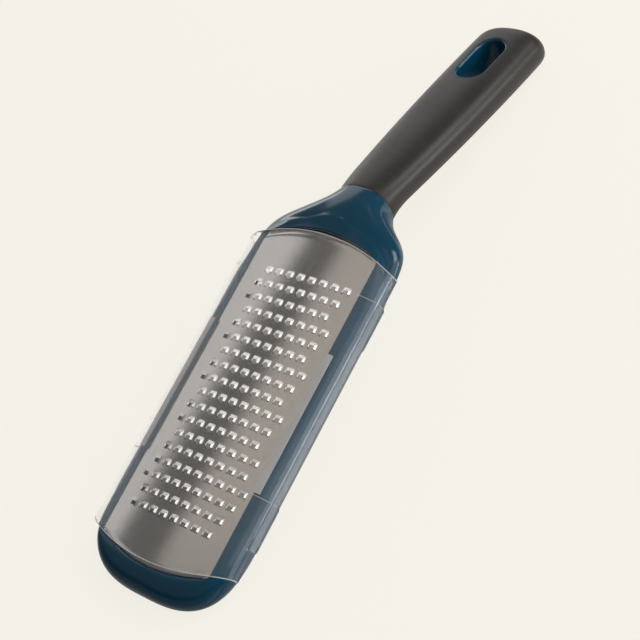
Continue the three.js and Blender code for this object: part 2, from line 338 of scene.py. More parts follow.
def topLine(x):
    # parabola along the neck's top, from the window's lip to the grip's top at the joint
    f, g = frameShape, gripShape
    c, s = math.cos(f["drop"]), math.sin(f["drop"])
    jointX = f["bendX"] + g["start"] * c + g["startThick"] / 2 * s
    jointZ = f["bendZ"] - g["start"] * s + g["startThick"] / 2 * c
    far = jointX - head["windowEnd"]
    d = x - head["windowEnd"]
    curve = (f["rimHeight"] - f["topSlope"] * far - jointZ) / far ** 2
    return f["rimHeight"] - f["topSlope"] * d - curve * d * d


def neckSection(along):
    # half width by a logistic curve, centre line bending into the handle, upper half reaching the top line
    f, g = frameShape, gripShape
    reach = f["bendX"] - f["railHalf"]
    wide = f["headHalf"] + f["sideBulge"]
    spread = 1 / (1 + np.exp((along - f["neckMiddle"]) / f["neckEase"]))
    least = 1 / (1 + math.exp((g["start"] - f["neckMiddle"]) / f["neckEase"]))
    half = mix(g["startWidth"] / 2, wide, (spread - least) / (1 - least))
    bent = smooth((along + reach / 2) / (g["start"] + reach / 2))
    back = np.minimum(along, 0.0)
    forth = np.maximum(along, 0.0)
    x = f["bendX"] + back + forth * math.cos(f["drop"])
    z = mix(f["bendZ"], f["headMiddle"], smooth(-back / reach * 2)) - forth * math.sin(f["drop"]) - sag(along)
    lean = f["drop"] * bent
    high = np.full(len(along), f["headRise"])
    for _ in range(f["topPasses"]):
        high = (topLine(x + high * np.sin(lean)) - z) / np.cos(lean)
    low = mix(f["headRise"], g["startThick"] / 2, bent) + swell(along)
    upper = mix(f["upperPower"], g["power"], bent)
    lower = mix(f["lowerPower"], g["power"], bent)
    return x, z, half, high, low, lean, upper, lower


def sectionPoint(section, turn):
    # superellipse: across = a cos^(2/n), up = b sin^(2/n), with b and n of their own above and below
    x, z, half, high, low, lean, upper, lower = (v[:, None] for v in section)
    c, s = np.cos(turn), np.sin(turn)
    power = np.where(s > 0, upper, lower)
    across = half * np.abs(c) ** (2 / power)
    up = np.where(s > 0, high, low) * np.sign(s) * np.abs(s) ** (2 / power)
    return np.stack([x + up * np.sin(lean), across, z + up * np.cos(lean)], axis=-1)


def ridgeOnNeck(ridge):
    # the section that passes through each ridge point, and the height of its surface there
    along = ridge[:, 0] - frameShape["bendX"]
    for _ in range(frameShape["ridgePasses"]):
        x, z, half, high, _, lean, upper, _ = neckSection(along)
        up = high * (1 - np.clip(ridge[:, 1] / half, 0.0, 1.0) ** upper) ** (1 / upper)
        along = along + (ridge[:, 0] - x - up * np.sin(lean))
    return along, z + up * np.cos(lean)


def crowded(count, power):
    # shares from 0 to 1, crowded at the start
    return np.linspace(0.0, 1.0, count) ** power


def rimProfile(ridge, inner, ridgeZ, footShare, neckShare):
    # from the window's lip to the ridge: height falls by t^p of the way, or at the foot as a quarter ellipse
    f = frameShape
    run = np.linspace(0.0, 1.0, f["rimPoints"])[None, :]
    foot = footShare[:, None]
    t = mix(1 - (1 - run) ** f["rimCrowding"], np.sin(run * math.pi / 2), foot)
    plan = mix(inner[:, None, :], ridge[:, None, :], t[..., None])
    lipZ = f["rimHeight"] - archDrop(inner[:, 1])
    power = mix(f["railFall"], f["neckFall"], neckShare)[:, None]
    fall = mix(t ** power, 1 - np.sqrt(np.clip(1 - t * t, 0.0, 1.0)), foot)
    z = mix(lipZ[:, None], ridgeZ[:, None], fall)
    return np.concatenate([plan, z[..., None]], axis=2)


def sideProfile(ridge, normal, ridgeZ, bulge, shares):
    # a rounded side: out = bulge - r + r cos, up = b sin, with b set so that it starts on the ridge
    f = frameShape
    first = np.arccos(1 - bulge / f["sideRound"])[:, None]
    turn = mix(first, -math.pi / 2, shares[None, :])
    out = bulge[:, None] - f["sideRound"] * (1 - np.cos(turn))
    above = (ridgeZ + f["sideMiddle"])[:, None] / np.sin(first)
    below = f["depth"] - f["sideMiddle"]
    z = -f["sideMiddle"] + np.where(turn > 0, above, below) * np.sin(turn)
    plan = ridge[:, None, :] + normal[:, None, :] * out[..., None]
    return np.concatenate([plan, z[..., None]], axis=2)


def neckProfile(ridge, along, shares):
    # the neck's section from the ridge round the side to below
    section = neckSection(along)
    half, upper, lower = section[2], section[6], section[7]
    inside = np.clip(ridge[:, 1] / half, 0.0, 1.0)
    first = np.arccos(inside ** (upper / 2))
    last = -np.arccos((frameShape["tuckUnder"] * inside) ** (lower / 2))
    return sectionPoint(section, mix(first[:, None], last[:, None], shares[None, :]))


def soften(rows, first, last, amount):
    # each pass moves a point part of the way to the middle of its two neighbours along the profile
    p = rows.copy()
    for _ in range(frameShape["softPasses"]):
        middle = (p[:, first - 1:last - 1] + p[:, first + 1:last + 1]) / 2
        p[:, first:last] += (middle - p[:, first:last]) * amount[:, None, None]
    return p


def creaseStep(points, ridge, proud):
    # the rim stands a little proud: a bell curve exp(-(d/w)^2) of the plan distance from the ridge
    f = frameShape
    away = np.linalg.norm(points[..., None, :2] - ridge, axis=-1)
    fall = np.exp(-(away.min(axis=-1) / f["stepWidth"]) ** 2)
    high = smooth((points[..., 2] - f["stepFloor"]) / f["stepFade"])
    return proud[away.argmin(axis=-1)] * fall * high


def frameHalfGrid():
    # half of the ring: wall, lip, rim, side and underside, each a profile carried along the ridge line
    f = frameShape
    ridge, inner = rimRows()
    footShare = smooth((-ridge[:, 0] - f["footFrom"]) / f["footOver"])
    ridge = ridge + outward(ridge) * ((f["sideBulge"] - f["footBulge"]) * footShare)[:, None]
    x, y = ridge.T
    neckShare = smooth((x - f["railHalf"]) / f["neckOver"])
    proud = f["stepHeight"] * mix(f["tipStep"], 1.0, smooth(y / f["tipHalf"])) * (1 - footShare)
    isNeck = x > f["railHalf"] - 1e-6
    along, neckZ = ridgeOnNeck(ridge[isNeck])
    railZ = f["rimHeight"] - archDrop(y) - f["rimDrop"] - proud
    ridgeZ = mix(railZ, f["footLine"] - f["sideMiddle"], footShare)
    ridgeZ[isNeck] = mix(ridgeZ[isNeck], neckZ, neckShare[isNeck])
    rim = rimProfile(ridge, inner, ridgeZ + proud, footShare, neckShare)
    shares = crowded(f["sidePoints"], f["crowding"])
    bulge = mix(f["sideBulge"], f["footBulge"], footShare)
    side = sideProfile(ridge, outward(ridge), ridgeZ, bulge, shares)
    neck = neckProfile(ridge[isNeck], along, shares)
    side[isNeck] = mix(side[isNeck], neck, neckShare[isNeck][:, None, None])
    side[..., 2] += creaseStep(side, ridge, proud)
    # lip: quarter round of the window's edge, then the wall down to the underside
    toWindow = inner - ridge
    toWindow /= np.linalg.norm(toWindow, axis=1)[:, None]
    turn = np.linspace(0.0, math.pi / 2, f["lipPoints"])[None, :]
    r = f["lipRound"]
    lipPlan = inner[:, None, :] + toWindow[:, None, :] * (r * np.cos(turn))[..., None]
    lipZ = rim[:, :1, 2] - r + r * np.sin(turn)
    lip = np.concatenate([lipPlan, lipZ[..., None]], axis=2)
    wallZ = mix(-f["depth"], lip[:, :1, 2], np.linspace(0.0, 1.0, f["wallPoints"])[None, :-1])
    wallPlan = np.repeat(lip[:, :1, :2], wallZ.shape[1], axis=1)
    wall = np.concatenate([wallPlan, wallZ[..., None]], axis=2)
    across = np.linspace(0.0, 1.0, f["underPoints"])[None, 1:, None]
    under = mix(side[:, -1:, :], wall[:, :1, :], across)
    rows = np.concatenate([wall, lip, rim[:, 1:], side[:, 1:], under], axis=1)
    ridgeAt = wall.shape[1] + lip.shape[1] + rim.shape[1] - 2
    soft = f["softLeast"] + f["softFoot"] * footShare
    rows = soften(rows, ridgeAt - f["softReach"], ridgeAt + f["softReach"], soft)
    return rows, along[-1], ridge, proud


def neckRows(first, ridge, proud):
    # full half sections from the crease's tip to the joint, a rounded edge there, and the tang's root inside
    f, g = frameShape, gripShape
    r = g["edgeRound"]
    turn = np.linspace(0.0, math.pi / 2, g["jointPoints"])[1:]
    run = np.linspace(first, g["start"] - r, f["neckRows"])
    root = [g["start"], g["start"] + g["tangRoot"]]
    along = np.concatenate([run, g["start"] - r + r * np.sin(turn), root])
    shrink = np.concatenate([np.zeros(len(run)), r * (1 - np.cos(turn)), [g["tangInset"]] * 2])
    x, z, half, high, low, lean, upper, lower = neckSection(along)
    section = (x, z, half - shrink, high - shrink, low - shrink, lean, upper, lower)
    even = smooth((along - first) / (g["start"] - first))[:, None]
    shares = np.linspace(0.0, 1.0, f["sidePoints"])[None, :] ** mix(f["crowding"], 1.0, even)
    rows = sectionPoint(section, mix(math.pi / 2, -math.pi / 2, shares))
    rows[:, (0, -1), 1] = 0.0
    rows[..., 2] += creaseStep(rows, ridge, proud)
    end = rows[-1:].mean(axis=1, keepdims=True).repeat(f["sidePoints"], axis=1)
    end[..., 1] = 0.0
    return np.concatenate([rows, end])


def buildFrame():
    # the half ring and the neck's rows, and their mirror images in y
    rows, first, ridge, proud = frameHalfGrid()
    handle = neckRows(first, ridge, proud)
    mirror = np.array([1.0, -1.0, 1.0])
    patches = []
    for half in (1.0, -1.0):
        flip = mirror if half < 0 else np.ones(3)
        patches.append((rows * flip, gridFaces(*rows.shape[:2])))
        patches.append((handle * flip, gridFaces(*handle.shape[:2])))
    return patches


def restOnTable(piece):
    # what would lie below the table is flattened onto it
    mesh = piece.data
    co = meshPoints(mesh)
    co[:, 2] = np.maximum(co[:, 2], 0.0)
    mesh.vertices.foreach_set("co", co.ravel())
    mesh.update()


frameBody = addPiece("frameMoulding", buildFrame(), "grater", sharp=frameShape["sharp"])
restOnTable(frameBody)
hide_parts("frame")


# Soft grip: a superellipse sleeve, with a slot through it for the hanging eye
eyeShape = {
    "place": 94.6,
    "length": 28.0,
    "width": 15.2,
    "wall": 1.2,
    "flare": 1.5,
    "seam": 0.03,
    "edgeRound": 0.3,
    "margin": 3.2,
    "columns": 15,
    "rings": 9,
    "crowding": 1.5,
    "edgePoints": 5,
    "endPoints": 25,
    "sidePoints": 10,
    "flarePoints": 10,
    "innerPoints": 14,
    "outerPoints": 6,
}


def handlePoint(along, across, up):
    # the handle's axes turned down by the drop: x = along c + up s, z = up c - along s
    f = frameShape
    c, s = math.cos(f["drop"]), math.sin(f["drop"])
    x = f["bendX"] + along * c + up * s
    z = f["bendZ"] - along * s + up * c
    return np.stack([x, across + 0 * along, z], axis=-1)


def gripSize(along):
    # half width, rise and fall: closing as a superellipse at the tip and by a small round at the joint
    g = gripShape
    past = np.clip((along - (g["end"] - g["endRound"])) / g["endRound"], 0.0, 1.0)
    close = g["endRound"] * (1 - (1 - past ** g["endPower"]) ** (1 / g["endPower"]))
    begin = g["start"] + g["jointGap"]
    near = np.clip((begin + g["edgeRound"] - along) / g["edgeRound"], 0.0, 1.0)
    edge = g["edgeRound"] * (1 - np.sqrt(1 - near ** 2))
    rise = gripRise(along) - close * g["endFlatten"] - edge
    return gripHalf(along) - close - edge, rise + sag(along), rise + swell(along)


def gripHeight(along, across):
    # height of the top face: b (1 - |y/a|^n)^(1/n), from the widest line
    half, rise = gripSize(along)[:2]
    n = gripShape["power"]
    return rise * (1 - np.clip(np.abs(across) / half, 0.0, 1.0) ** n) ** (1 / n) - sag(along)


def stadium(points, radius):
    # nearest point of a slot of that radius round the eye's straight core
    core = (eyeShape["length"] - eyeShape["width"]) / 2
    middle = np.stack([np.clip(points[:, 0], -core, core), np.zeros(len(points))], axis=1)
    way = points - middle
    return middle + way / np.linalg.norm(way, axis=1)[:, None] * radius


def gripPatches():
    # superellipse rings along the handle, across = a cos^(2/n), up = b sin^(2/n), opened for the slot
    g, e = gripShape, eyeShape
    n = g["around"]
    low = e["place"] - e["length"] / 2 - e["margin"]
    high = e["place"] + e["length"] / 2 + e["margin"]
    begin = g["start"] + g["jointGap"]
    edge = begin + g["edgeRound"] * (1 - np.cos(np.linspace(0.0, math.pi / 2, g["jointPoints"])))
    sleeve = np.linspace(edge[-1], low, g["sleeveRows"])
    besideEye = np.linspace(low, high, g["eyeRows"])
    tip = high + (g["end"] - high) * np.sin(np.linspace(0.0, math.pi / 2, g["tipRows"]))
    along = np.concatenate([edge, sleeve[1:], besideEye[1:], tip[1:]])
    half, rise, fall = (v[:, None] for v in gripSize(along))
    turn = (np.arange(n) / n) * 2 * math.pi
    c, s = np.cos(turn)[None, :], np.sin(turn)[None, :]
    across = half * np.sign(c) * np.abs(c) ** (2 / g["power"])
    up = np.where(s > 0, rise, fall) * np.sign(s) * np.abs(s) ** (2 / g["power"]) - sag(along)[:, None]
    skin = handlePoint(along[:, None], across, up)
    faces = gridFaces(len(along), n, closeCols=True)
    # cells of the top and bottom faces that the slot's rings take over
    first = np.searchsorted(along, low - 1e-6)
    last = np.searchsorted(along, high - 1e-6)
    reach = e["columns"]
    rowOf, colOf = faces[:, 0] // n, faces[:, 0] % n
    taken = np.zeros(len(faces), bool)
    for quarter in (n // 4, 3 * n // 4):
        taken |= (rowOf >= first) & (rowOf < last) & (colOf >= quarter - reach) & (colOf < quarter + reach)
    patches = [(skin, faces[~taken])]
    # rings from the cells' border to the slot's edge, rounded down into it
    top = n // 4
    cols = np.arange(top - reach, top + reach + 1)
    rows = np.arange(first, last + 1)
    backRows, backCols = rows[::-1][1:-1], cols[::-1][1:]
    r = np.concatenate([np.full(len(cols), rows[0]), rows[1:], np.full(len(backCols), rows[-1]), backRows])
    k = np.concatenate([cols, np.full(len(rows) - 1, cols[-1]), backCols, np.full(len(backRows), cols[0])])
    outer = np.stack([along[r] - e["place"], across[r, k]], axis=1)
    slot = e["width"] / 2 + e["seam"]
    slotEdge = stadium(outer, slot)
    away = stadium(outer, slot + e["edgeRound"])
    share = 1 - (1 - np.linspace(0.0, 1.0, e["rings"])) ** e["crowding"]
    flat = mix(outer[None], away[None], share[:, None, None])
    bend = np.linspace(0.0, math.pi / 2, e["edgePoints"])[1:]
    dip = np.concatenate([np.zeros(e["rings"]), e["edgeRound"] * (1 - np.cos(bend))])
    roll = mix(away[None], slotEdge[None], np.sin(bend)[:, None, None])
    plan = np.concatenate([flat, roll])
    height = gripHeight(plan[..., 0] + e["place"], plan[..., 1]) - dip[:, None]
    rings = handlePoint(plan[..., 0] + e["place"], plan[..., 1], height)
    under = handlePoint(plan[..., 0] + e["place"], plan[..., 1], -height)
    ringFaces = gridFaces(*rings.shape[:2], closeCols=True)
    patches += [(rings, ringFaces), (under, ringFaces)]
    wall = np.stack([rings[-1], under[-1]])
    patches.append((wall, gridFaces(2, wall.shape[1], closeCols=True)))
    # the joint's face turns in to the tang, and both ends close on a point
    inward = handlePoint(np.full(n, begin), across[0] * g["inward"], up[0] * g["inward"])
    middle = handlePoint(np.full(n, begin), 0 * across[0], 0 * up[0])
    patches.append((np.stack([skin[0], inward, middle]), gridFaces(3, n, closeCols=True)))
    point = handlePoint(np.full(n, along[-1]), 0 * across[0], 0 * up[0])
    patches.append((np.stack([skin[-1], point]), gridFaces(2, n, closeCols=True)))
    return patches


gripSleeve = addPiece("gripSleeve", gripPatches(), "grater")
restOnTable(gripSleeve)
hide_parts("grip")


def eyePatches():
    # carried round the slot: a quarter-ellipse flare from the grip's face into the inner wall, on both faces
    e = eyeShape
    core = (e["length"] - e["width"]) / 2
    radius = e["width"] / 2
    bend = np.linspace(-math.pi / 2, math.pi / 2, e["endPoints"])
    near = np.stack([core + radius * np.cos(bend), radius * np.sin(bend)], axis=1)
    straight = np.linspace(0.0, 1.0, e["sidePoints"])[1:-1, None]
    path = np.concatenate([near, mix(near[-1:], -near[:1], straight), -near,
                           mix(-near[-1:], near[:1], straight)])
    middle = np.stack([np.clip(path[:, 0], -core, core), np.zeros(len(path))], axis=1)
    way = (path - middle) / radius
    turn = np.linspace(0.0, math.pi / 2, e["flarePoints"])
    plan = path[None] - way[None] * (e["wall"] * np.sin(turn))[:, None, None]
    face = gripHeight(path[:, 0] + e["place"], path[:, 1])
    top = face[None] - (e["flare"] * (1 - np.cos(turn)))[:, None]
    upper = np.concatenate([plan, top[..., None]], axis=2)
    lower = np.concatenate([plan, -top[..., None]], axis=2)[::-1]
    inner = mix(upper[-1:], lower[:1], np.linspace(0.0, 1.0, e["innerPoints"])[1:-1, None, None])
    outer = mix(lower[-1:], upper[:1], np.linspace(0.0, 1.0, e["outerPoints"])[1:-1, None, None])
    ring = np.concatenate([upper, inner, lower, outer])
    points = handlePoint(ring[..., 0] + e["place"], ring[..., 1], ring[..., 2])
    return [(points, gridFaces(*points.shape[:2], closeRows=True, closeCols=True))]


eyeLining = addPiece("eyeLining", eyePatches(), "grater")
restOnTable(eyeLining)


# Grating plate: an arched sheet with rows of lanced hoods, open towards the foot
plateShape = {
    "rows": 18,
    "columns": 8,
    "pitch": 5.63,
    "rowPitch": 5.98,
    "firstTooth": 16.4,
    "stagger": 3,
    "longRows": {14: 8, 15: -1},
    "mouthBack": 0.2,
    "length": 1.5,
    "wing": 1.6,
    "wingEnd": 0.5,
    "height": 0.75,
    "halfTop": 1.251,
    "halfBase": 1.877,
    "holeHalf": 1.26,
    "fadeFrom": 20.9,
    "fadeOver": 3.4,
    "wall": 0.2,
    "markRise": 0.2,
    "rowLines": (-2.4, -1.6, -1.1, 0.0, 0.5, 1.0, 1.5, 2.3),
    "unit": 5.63 / 18,
    "edge": 30.5,
    "tuck": 0.6,
    "flangeInset": 0.05,
    "flangeRound": 2.4,
    "flangeSweep": math.radians(48),
    "flangeLedge": 0.45,
    "flangeFull": 25.0,
    "flangeGone": 29.0,
    "endGap": 0.9,
    "endPoints": 6,
    "turnPoints": 9,
    "sharp": 20.0,
}


def plateLines():
    # lines across the plate at fixed places before and behind each row's mouths
    p = plateShape
    mouth = ((p["rows"] - 1) / 2 - np.arange(p["rows"])) * p["rowPitch"] - p["mouthBack"]
    x = np.sort((mouth[:, None] + np.array(p["rowLines"])[None]).ravel())
    return x, np.sort(mouth)[::-1]


def toothLift(dx, dy, height):
    # a hipped hood: the least of a back slope h (1 - x/l), the wings' front ends and the flanks' slope
    p = plateShape
    back = 1 - dx / p["length"]
    front = (p["wing"] + dx) / p["wingEnd"]
    flank = (p["halfBase"] - np.abs(dy)) / (p["halfBase"] - p["halfTop"])
    return height * np.clip(np.minimum(np.minimum(back, front), flank), 0.0, 1.0)


def thicken(points, faces, wall):
    # a second skin below along the vertex normals, and a strip round every open edge
    corner = points[faces]
    facing = np.cross(corner[:, 2] - corner[:, 0], corner[:, 3] - corner[:, 1])
    normal = np.zeros_like(points)
    for k in range(4):
        np.add.at(normal, faces[:, k], facing)
    normal /= np.linalg.norm(normal, axis=1)[:, None] + 1e-12
    under = points - normal * wall
    edges = np.stack([faces, np.roll(faces, -1, axis=1)], axis=2).reshape(-1, 2)
    key = np.sort(edges, axis=1)
    _, index, number = np.unique(key, axis=0, return_index=True, return_counts=True)
    rim = edges[index[number == 1]]
    count = len(points)
    strips = np.stack([rim[:, 1], rim[:, 0], rim[:, 0] + count, rim[:, 1] + count], axis=1)
    return np.concatenate([points, under]), np.concatenate([faces, faces[:, ::-1] + count, strips])


def endLine(grow, across):
    # where the window's end, grown by that much, lies at each distance from the middle
    line = windowQuarter(grow)
    order = np.argsort(line[:, 1], kind="stable")
    return np.interp(np.abs(across), line[order, 1], line[order, 0])


def platePatches():
    # a grid on the arch, raised where a tooth is: y = R sin a, z = R cos a - archRadius
    p = plateShape
    x, mouth = plateLines()
    units = np.arange(math.ceil((-p["edge"] - p["firstTooth"]) / p["unit"]),
                      math.floor((p["edge"] - p["firstTooth"]) / p["unit"]) + 1)
    arc = p["firstTooth"] + units * p["unit"]
    arc = np.concatenate([[-p["edge"]], arc[1:-1], [p["edge"]]])
    # the neck end turns up to a ledge inside the lip and the foot end down: x = r sin t, z = r - r cos t
    flange = smooth((p["flangeGone"] - np.abs(arc)) / (p["flangeGone"] - p["flangeFull"]))
    endX = mix(endLine(p["tuck"], arc), endLine(-p["flangeInset"], arc), flange)
    r = p["flangeRound"]
    sweep = p["flangeSweep"]
    share = np.linspace(0.0, 1.0, p["endPoints"])[1:, None]
    turn = np.concatenate([np.linspace(0.0, 1.0, p["turnPoints"])[1:], [1.0]])[:, None]
    ledge = np.concatenate([np.zeros(p["turnPoints"] - 1), [p["flangeLedge"]]])[:, None]
    past = r * mix(turn * math.sin(sweep), np.sin(turn * sweep), flange[None]) + ledge
    up = r * (1 - np.cos(turn * sweep)) * flange[None]
    high, low = x.max() + p["endGap"], x.min() - p["endGap"]
    reach = endX[None] - r * math.sin(sweep) - p["flangeLedge"]
    footEnd = np.concatenate([mix(low, -reach, share), -(reach + past)])
    neckEnd = np.concatenate([mix(high, reach, share), reach + past])
    inside = np.repeat(np.concatenate([[low], x, [high]])[:, None], len(arc), axis=1)
    gridX = np.concatenate([footEnd[::-1], inside, neckEnd])
    gridY = np.repeat(arc[None], len(gridX), axis=0)
    bend = np.zeros_like(gridX)
    bend[:len(turn)] = -up[::-1]
    bend[-len(turn):] = up
    lift = np.zeros_like(gridX)
    faces = gridFaces(*gridX.shape)
    midX = gridX.ravel()[faces].mean(axis=1)
    midY = gridY.ravel()[faces].mean(axis=1)
    gone = np.zeros(len(faces), bool)
    for row in range(p["rows"]):
        columns = list(range(p["columns"])) + [c for longRow, c in p["longRows"].items() if longRow == row]
        for column in columns:
            tooth = p["firstTooth"] - (column - (row % p["stagger"]) / p["stagger"]) * p["pitch"]
            height = p["height"] * smooth((p["fadeFrom"] - tooth) / p["fadeOver"])
            lift = np.maximum(lift, toothLift(gridX - mouth[row], gridY - tooth, height))
            fx, fy = midX - mouth[row], np.abs(midY - tooth)
            gone |= (fx > -p["wing"]) & (fx < 0.0) & (fy < p["holeHalf"])
    angle = gridY / head["archRadius"]
    radius = head["archRadius"] + lift + bend
    points = np.stack([gridX, radius * np.sin(angle), radius * np.cos(angle) - head["archRadius"]], axis=-1)
    return [thicken(points.reshape(-1, 3), faces[~gone][:, ::-1], p["wall"])]


def markTeeth(piece):
    # an attribute that is one on the teeth: the rise over the plain arch, r - archRadius, over a small height
    p = plateShape
    spot = meshPoints(piece.data).astype(float) / toMetres - headOrigin
    c, s = math.cos(tilt), math.sin(tilt)
    x = spot[:, 0] * c + spot[:, 2] * s
    z = spot[:, 2] * c - spot[:, 0] * s
    rise = np.hypot(spot[:, 1], z + head["archRadius"]) - head["archRadius"]
    share = np.clip(rise / p["markRise"], 0.0, 1.0) * (np.abs(x) < p["rows"] / 2 * p["rowPitch"])
    mark = piece.data.attributes.new("toothMark", "FLOAT", "POINT")
    mark.data.foreach_set("value", share.astype(np.float32))


gratingPlate = addPiece("gratingPlate", platePatches(), "grater", sharp=plateShape["sharp"])
markTeeth(gratingPlate)
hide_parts("grating_plate")


# Clear guard: an arch over the teeth with sloping shoulders, side skirts and four clip tabs
guardShape = {
    "half": 69.2,
    "endRadius": 99.0,
    "wall": 1.2,
    "crown": 2.98,
    "archHalf": 32.0,
    "skirtOut": 37.55,
    "shoulderTop": -2.9,
    "archPoints": 60,
    "profilePoints": 300,
    "bendShare": 0.9,
    "bendPasses": 130,
    "wholePasses": 80,
    "bendFrom": 33.6,
    "bendOver": 1.0,
    "tabInner": 32.0,
    "tabOuter": 50.0,
    "tabDepth": 8.0,
    "middleDepth": 6.8,
    "endDepth": 6.5,
    "depthOver": 2.0,
    "tabStep": 0.06,
    "stepFrom": 29.5,
    "stepOver": 1.5,
    "stepInset": 0.3,
    "ease": 0.5,
    "skirtNear": 0.02,
    "skirtStart": 0.6,
    "skirtPoints": 30,
    "archEvery": 5,
    "skirtEvery": 6,
    "crossSteps": (0.0, 10.0, 20.0, 28.0, 38.0, 44.0),
    "endPoints": 12,
    "ribInner": 29.1,
    "ribOuter": 32.0,
    "ribFrom": -31.0,
    "ribTo": 25.5,
    "ribDeep": 0.25,
    "ribLean": 0.3,
    "stripRows": 24,
    "stripColumns": 5,
    "veilTop": -3.5,
    "veilLow": -6.3,
    "ribClear": 0.06,
    "lineWidth": 0.4,
    "lineDeep": 0.08,
    "lineProud": 0.015,
    "crossLines": (50.0, -32.0),
    "crossWidth": 0.24,
    "crossFrom": 29.0,
    "lineEvery": 4,
    "linePoints": 3,
    "rimRound": 0.3,
    "sharp": 40.0,
}


def guardProfile():
    # arch z = crown - r + sqrt(r^2 - y^2), then a straight shoulder and the skirt,
    # with the corners rounded by moving each point towards the middle of its neighbours
    g = guardShape
    y = np.linspace(0.0, g["archHalf"], g["archPoints"])
    arch = np.stack([y, g["crown"] - archDrop(y)], axis=1)
    corner = np.array([[g["skirtOut"], g["shoulderTop"]], [g["skirtOut"], -g["tabDepth"]]])
    line = evenly(np.concatenate([arch, corner]), g["profilePoints"])
    for k in range(g["bendPasses"]):
        part = 1.0 if k < g["wholePasses"] else smooth((line[1:-1, :1] - g["bendFrom"]) / g["bendOver"])
        line[1:-1] += ((line[:-2] + line[2:]) / 2 - line[1:-1]) * g["bendShare"] * part
    return line


def guardPatches():
    # the profile carried along x to the bowed ends, its skirt stretched down to each tab's depth
    g = guardShape
    line = guardProfile()
    skirtFrom = np.searchsorted(line[:, 0], g["skirtOut"] - g["skirtNear"])
    skirtFrom = min(skirtFrom, len(line) - g["skirtPoints"])
    archKeep = np.arange(0, skirtFrom, g["archEvery"])
    skirtKeep = np.arange(skirtFrom, len(line), g["skirtEvery"])
    line = line[np.unique(np.concatenate([archKeep, skirtKeep, [len(line) - 1]]))]
    half = np.concatenate([line[::-1] * np.array([-1.0, 1.0]), line[1:]])
    y, z = half[:, 0], half[:, 1]
    e = g["ease"]
    steps = list(g["crossSteps"])
    for edge in (g["tabInner"], g["tabOuter"]):
        steps += [edge - 2 * e, edge - e, edge, edge + e, edge + 2 * e]
    middle = np.unique(np.concatenate([steps, -np.array(steps)]))
    endX = g["half"] - archDrop(y, g["endRadius"])
    first = middle.max()
    share = np.linspace(0.0, 1.0, g["endPoints"])[1:]
    ends = first + (endX[None] - first) * share[:, None]
    gridX = np.concatenate([-ends[::-1], np.repeat(middle[:, None], len(y), axis=1), ends])
    far = np.abs(gridX)
    inTab = smooth((far - g["tabInner"]) / (2 * e) + 0.5) * smooth((g["tabOuter"] - far) / (2 * e) + 0.5)
    beyond = smooth((far - (g["tabInner"] + g["tabOuter"]) / 2) / g["depthOver"] + 0.5)
    bottom = mix(mix(g["middleDepth"], g["endDepth"], beyond), g["tabDepth"], inTab)
    start = g["shoulderTop"] - g["skirtStart"]
    low = z[None] < start
    share = (start - z[None]) / (start + g["tabDepth"])
    gridZ = np.where(low, start - share * (start + bottom), z[None])
    gridY = np.repeat(y[None], len(gridX), axis=0)
    rising = smooth((np.abs(gridY) - g["stepFrom"]) / g["stepOver"])
    falling = smooth((g["skirtOut"] - g["stepInset"] - np.abs(gridY)) / g["stepOver"])
    gridZ = gridZ - g["tabStep"] * inTab * (rising * falling)
    points = np.stack([gridX, gridY, gridZ], axis=-1)
    return [thicken(points.reshape(-1, 3), gridFaces(*gridX.shape)[:, ::-1], g["wall"])]


def bothSides(gridX, gridY, gridZ, deep):
    # a strip and its mirror image in y, each with that thickness
    faces = gridFaces(*gridX.shape)
    patches = []
    for side in (1.0, -1.0):
        points = np.stack([gridX, side * gridY, gridZ], axis=-1).reshape(-1, 3)
        patches.append(thicken(points, faces[:, ::-1] if side > 0 else faces, deep))
    return patches


def ribPatches():
    # two shallow strips under the guard's arch, one beside each edge of the plate
    g = guardShape
    line = guardProfile()
    x = np.linspace(g["ribFrom"], g["ribTo"], g["stripRows"])
    y = np.linspace(g["ribInner"], g["ribOuter"], g["stripColumns"])
    gridX, gridY = np.meshgrid(x, y, indexing="ij")
    outerZ = np.interp(gridY, line[:, 0], line[:, 1])
    gridZ = outerZ - g["wall"] / math.cos(g["ribLean"]) - g["ribClear"]
    return bothSides(gridX, gridY, gridZ, g["ribDeep"])


def veilAndReflectionPatches():
    # a thin dull veil on the flat of each side skirt, partly a frosted texture and partly a painted pale
    # reflection
    g = guardShape
    line = guardProfile()
    x = np.linspace(-g["tabOuter"], g["tabOuter"], g["stripRows"])
    z = np.linspace(g["veilTop"], g["veilLow"], g["stripColumns"])
    gridX, gridZ = np.meshgrid(x, z, indexing="ij")
    gridY = np.interp(-gridZ, -line[:, 1], line[:, 0]) + g["lineProud"]
    return bothSides(gridX, gridY, gridZ, g["lineDeep"])


def paintedHighlightPatches():
    # hair-thin pale strips on the guard, painted highlights: along both end edges, and across the shoulders
    # at the tabs' ends
    g = guardShape
    line = guardProfile()[::g["lineEvery"]]
    line = line[line[:, 1] > -g["endDepth"]]
    half = np.concatenate([line[::-1] * np.array([-1.0, 1.0]), line[1:]])
    run = np.gradient(half, axis=0)
    out = np.stack([-run[:, 1], run[:, 0]], axis=1) / np.linalg.norm(run, axis=1)[:, None]
    y, z = half.T + out.T * g["lineProud"]
    endX = g["half"] - archDrop(half[:, 0], g["endRadius"])
    shares = np.linspace(0.0, 1.0, g["linePoints"])[:, None]
    ends = endX[None] - g["lineWidth"] * shares
    strips = [(ends, y, z, False), (-ends, y, z, True)]
    for place in g["crossLines"]:
        for part in (half[:, 0] > g["crossFrom"], half[:, 0] < -g["crossFrom"]):
            x = place + g["crossWidth"] * (0.5 - shares) + 0 * y[None, part]
            strips.append((x, y[part], z[part], False))
    patches = []
    for x, across, up, flip in strips:
        points = np.stack([x, across + 0 * x, up + 0 * x], axis=-1).reshape(-1, 3)
        faces = gridFaces(*x.shape)
        patches.append(thicken(points, faces[:, ::-1] if flip else faces, g["lineDeep"]))
    return patches


